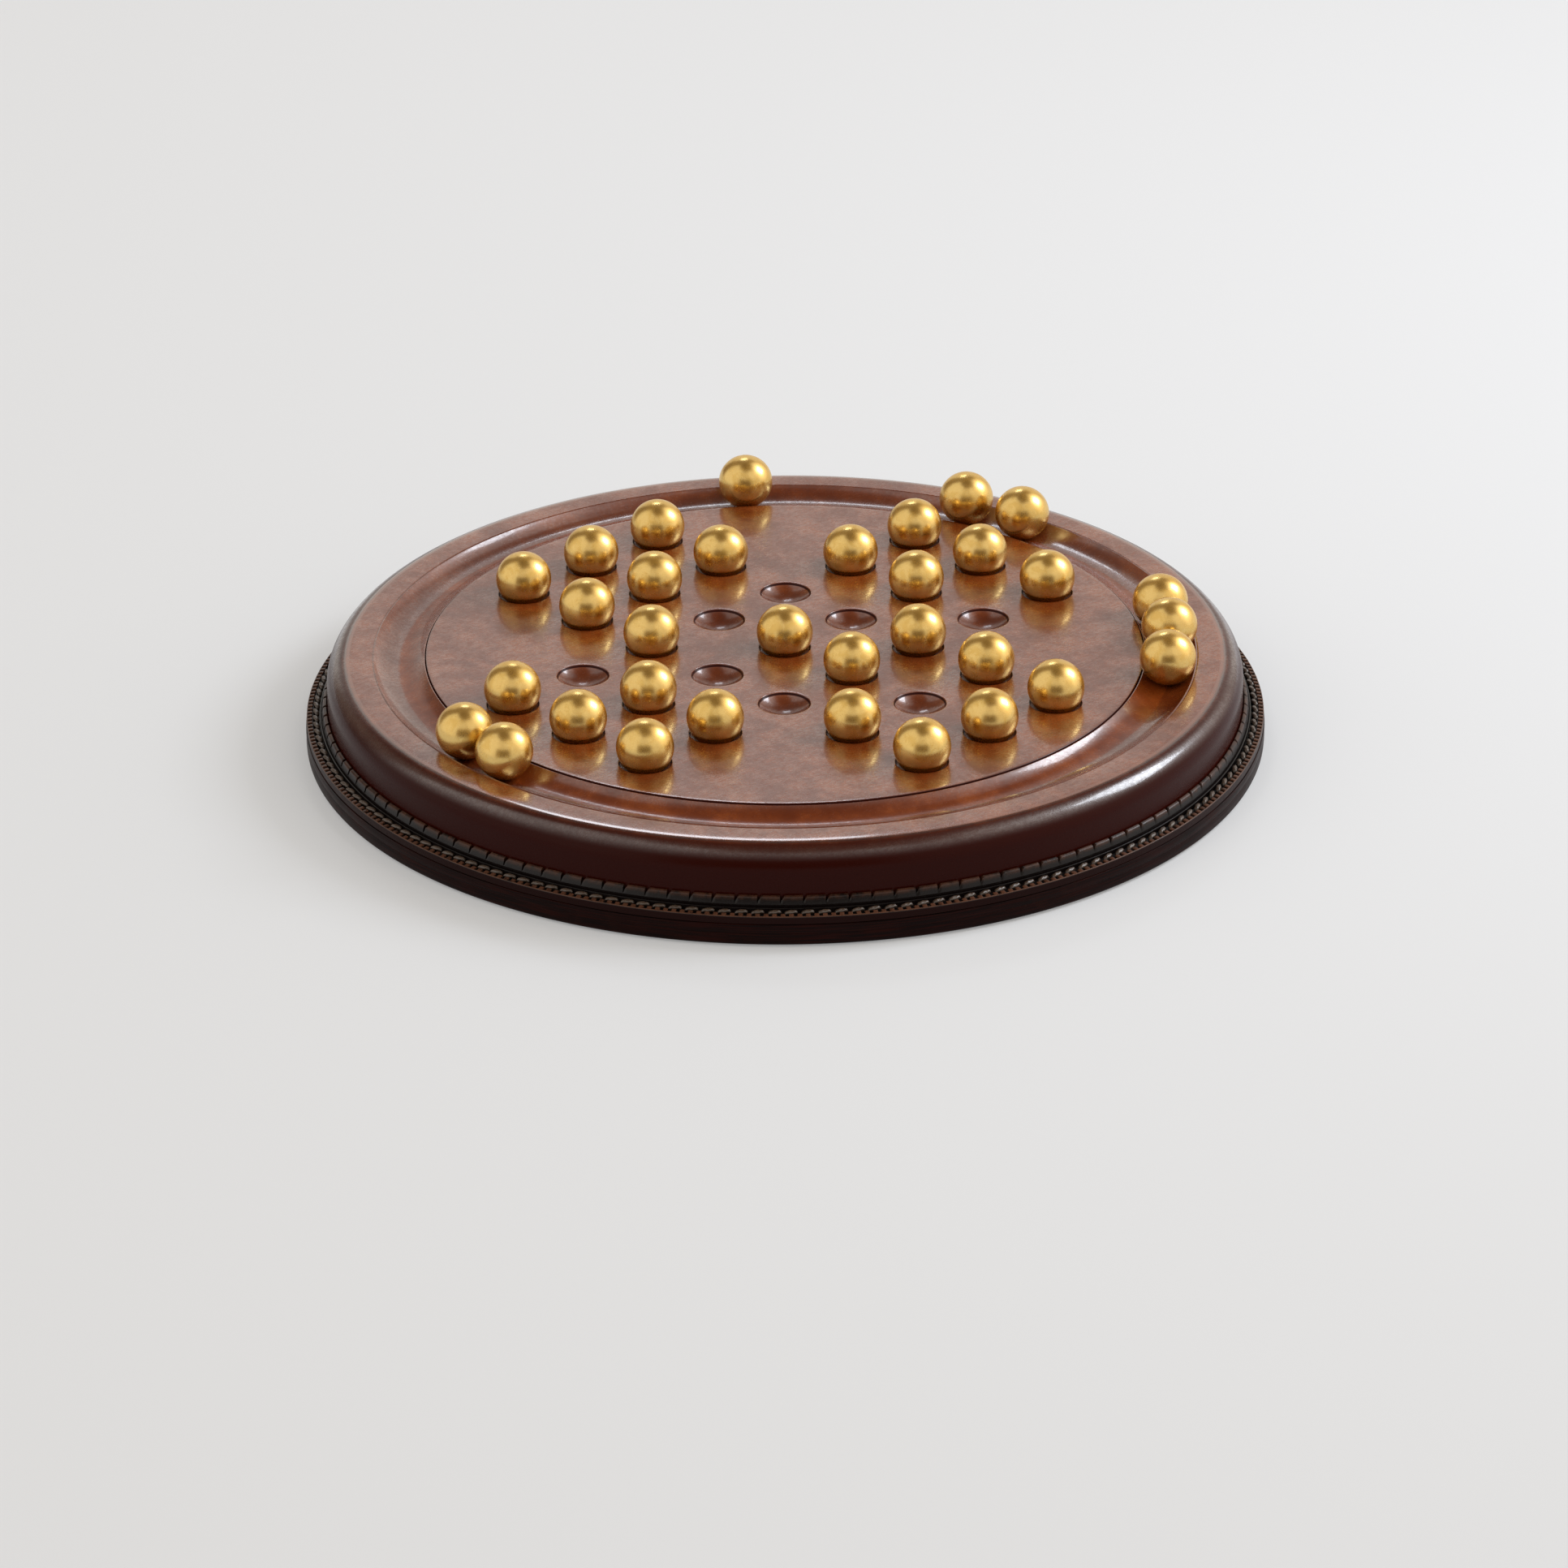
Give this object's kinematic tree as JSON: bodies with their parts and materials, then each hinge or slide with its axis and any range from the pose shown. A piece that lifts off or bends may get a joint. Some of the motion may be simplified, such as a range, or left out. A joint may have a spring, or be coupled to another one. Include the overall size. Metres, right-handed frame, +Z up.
{
  "type": "peg solitaire board",
  "caption": "Round leather-covered peg solitaire board with a ring gutter, a stitched welt and loose brass balls in moulded holes.",
  "frame": {"origin": "centre of the underside, on the surface that the board stands on", "axes": "+Z up; the rows of holes run along X and Y"},
  "size_m": [0.3184, 0.3184, 0.0452],
  "materials": {
    "wood": "plain turned wood",
    "field_leather": "patinated, polished",
    "rim_leather": "patinated, polished, darker down the side",
    "welt_leather": "waxed",
    "sole_leather": "burnished edge",
    "suede": "napped",
    "thread": "waxed thread",
    "cork": "pressed cork",
    "steel": "bright",
    "brass": "satin, brushed"
  },
  "bodies": {
    "board": {"core": "wood", "field_leather": "field_leather", "rim_leather": "rim_leather", "welt": "welt_leather", "welt_stitching": "thread", "welt_nails": "steel", "filler": "cork", "midsole": "sole_leather", "outsole": "sole_leather", "base_pad": "suede"},
    "ball_a3": {"ball_a3": "brass"},
    "ball_a4": {"ball_a4": "brass"},
    "ball_a5": {"ball_a5": "brass"},
    "ball_b3": {"ball_b3": "brass"},
    "ball_b4": {"ball_b4": "brass"},
    "ball_b5": {"ball_b5": "brass"},
    "ball_c1": {"ball_c1": "brass"},
    "ball_c3": {"ball_c3": "brass"},
    "ball_c6": {"ball_c6": "brass"},
    "ball_c7": {"ball_c7": "brass"},
    "ball_d1": {"ball_d1": "brass"},
    "ball_d2": {"ball_d2": "brass"},
    "ball_d4": {"ball_d4": "brass"},
    "ball_d6": {"ball_d6": "brass"},
    "ball_d7": {"ball_d7": "brass"},
    "ball_e1": {"ball_e1": "brass"},
    "ball_e2": {"ball_e2": "brass"},
    "ball_e4": {"ball_e4": "brass"},
    "ball_e5": {"ball_e5": "brass"},
    "ball_e7": {"ball_e7": "brass"},
    "ball_f3": {"ball_f3": "brass"},
    "ball_f5": {"ball_f5": "brass"},
    "ball_g3": {"ball_g3": "brass"},
    "ball_g4": {"ball_g4": "brass"},
    "ball_g5": {"ball_g5": "brass"},
    "gutter_ball_1": {"gutter_ball_1": "brass"},
    "gutter_ball_2": {"gutter_ball_2": "brass"},
    "gutter_ball_3": {"gutter_ball_3": "brass"},
    "gutter_ball_4": {"gutter_ball_4": "brass"},
    "gutter_ball_5": {"gutter_ball_5": "brass"},
    "gutter_ball_6": {"gutter_ball_6": "brass"},
    "gutter_ball_7": {"gutter_ball_7": "brass"},
    "gutter_ball_8": {"gutter_ball_8": "brass"}
  },
  "joints": [
    {"name": "lift_a3", "type": "slide", "parent": "board", "child": "ball_a3", "axis": [0, 0, 1], "range_m": [0, 0.04]},
    {"name": "lift_a4", "type": "slide", "parent": "board", "child": "ball_a4", "axis": [0, 0, 1], "range_m": [0, 0.04]},
    {"name": "lift_a5", "type": "slide", "parent": "board", "child": "ball_a5", "axis": [0, 0, 1], "range_m": [0, 0.04]},
    {"name": "lift_b3", "type": "slide", "parent": "board", "child": "ball_b3", "axis": [0, 0, 1], "range_m": [0, 0.04]},
    {"name": "lift_b4", "type": "slide", "parent": "board", "child": "ball_b4", "axis": [0, 0, 1], "range_m": [0, 0.04]},
    {"name": "lift_b5", "type": "slide", "parent": "board", "child": "ball_b5", "axis": [0, 0, 1], "range_m": [0, 0.04]},
    {"name": "lift_c1", "type": "slide", "parent": "board", "child": "ball_c1", "axis": [0, 0, 1], "range_m": [0, 0.04]},
    {"name": "lift_c3", "type": "slide", "parent": "board", "child": "ball_c3", "axis": [0, 0, 1], "range_m": [0, 0.04]},
    {"name": "lift_c6", "type": "slide", "parent": "board", "child": "ball_c6", "axis": [0, 0, 1], "range_m": [0, 0.04]},
    {"name": "lift_c7", "type": "slide", "parent": "board", "child": "ball_c7", "axis": [0, 0, 1], "range_m": [0, 0.04]},
    {"name": "lift_d1", "type": "slide", "parent": "board", "child": "ball_d1", "axis": [0, 0, 1], "range_m": [0, 0.04]},
    {"name": "lift_d2", "type": "slide", "parent": "board", "child": "ball_d2", "axis": [0, 0, 1], "range_m": [0, 0.04]},
    {"name": "lift_d4", "type": "slide", "parent": "board", "child": "ball_d4", "axis": [0, 0, 1], "range_m": [0, 0.04]},
    {"name": "lift_d6", "type": "slide", "parent": "board", "child": "ball_d6", "axis": [0, 0, 1], "range_m": [0, 0.04]},
    {"name": "lift_d7", "type": "slide", "parent": "board", "child": "ball_d7", "axis": [0, 0, 1], "range_m": [0, 0.04]},
    {"name": "lift_e1", "type": "slide", "parent": "board", "child": "ball_e1", "axis": [0, 0, 1], "range_m": [0, 0.04]},
    {"name": "lift_e2", "type": "slide", "parent": "board", "child": "ball_e2", "axis": [0, 0, 1], "range_m": [0, 0.04]},
    {"name": "lift_e4", "type": "slide", "parent": "board", "child": "ball_e4", "axis": [0, 0, 1], "range_m": [0, 0.04]},
    {"name": "lift_e5", "type": "slide", "parent": "board", "child": "ball_e5", "axis": [0, 0, 1], "range_m": [0, 0.04]},
    {"name": "lift_e7", "type": "slide", "parent": "board", "child": "ball_e7", "axis": [0, 0, 1], "range_m": [0, 0.04]},
    {"name": "lift_f3", "type": "slide", "parent": "board", "child": "ball_f3", "axis": [0, 0, 1], "range_m": [0, 0.04]},
    {"name": "lift_f5", "type": "slide", "parent": "board", "child": "ball_f5", "axis": [0, 0, 1], "range_m": [0, 0.04]},
    {"name": "lift_g3", "type": "slide", "parent": "board", "child": "ball_g3", "axis": [0, 0, 1], "range_m": [0, 0.04]},
    {"name": "lift_g4", "type": "slide", "parent": "board", "child": "ball_g4", "axis": [0, 0, 1], "range_m": [0, 0.04]},
    {"name": "lift_g5", "type": "slide", "parent": "board", "child": "ball_g5", "axis": [0, 0, 1], "range_m": [0, 0.04]},
    {"name": "roll_1", "type": "hinge", "parent": "board", "child": "gutter_ball_1", "pos_m": [0, 0, 0.03585], "axis": [0, 0, 1], "range_deg": [-116, 3]},
    {"name": "roll_2", "type": "hinge", "parent": "board", "child": "gutter_ball_2", "pos_m": [0, 0, 0.03585], "axis": [0, 0, 1], "range_deg": [-3, 0.2]},
    {"name": "roll_3", "type": "hinge", "parent": "board", "child": "gutter_ball_3", "pos_m": [0, 0, 0.03585], "axis": [0, 0, 1], "range_deg": [-0.2, 31.2]},
    {"name": "roll_4", "type": "hinge", "parent": "board", "child": "gutter_ball_4", "pos_m": [0, 0, 0.03585], "axis": [0, 0, 1], "range_deg": [-31.2, 1.8]},
    {"name": "roll_5", "type": "hinge", "parent": "board", "child": "gutter_ball_5", "pos_m": [0, 0, 0.03585], "axis": [0, 0, 1], "range_deg": [-1.8, 27.2]},
    {"name": "roll_6", "type": "hinge", "parent": "board", "child": "gutter_ball_6", "pos_m": [0, 0, 0.03585], "axis": [0, 0, 1], "range_deg": [-27.2, 111.8]},
    {"name": "roll_7", "type": "hinge", "parent": "board", "child": "gutter_ball_7", "pos_m": [0, 0, 0.03585], "axis": [0, 0, 1], "range_deg": [-111.8, 0.5]},
    {"name": "roll_8", "type": "hinge", "parent": "board", "child": "gutter_ball_8", "pos_m": [0, 0, 0.03585], "axis": [0, 0, 1], "range_deg": [-0.5, 116]}
  ]
}
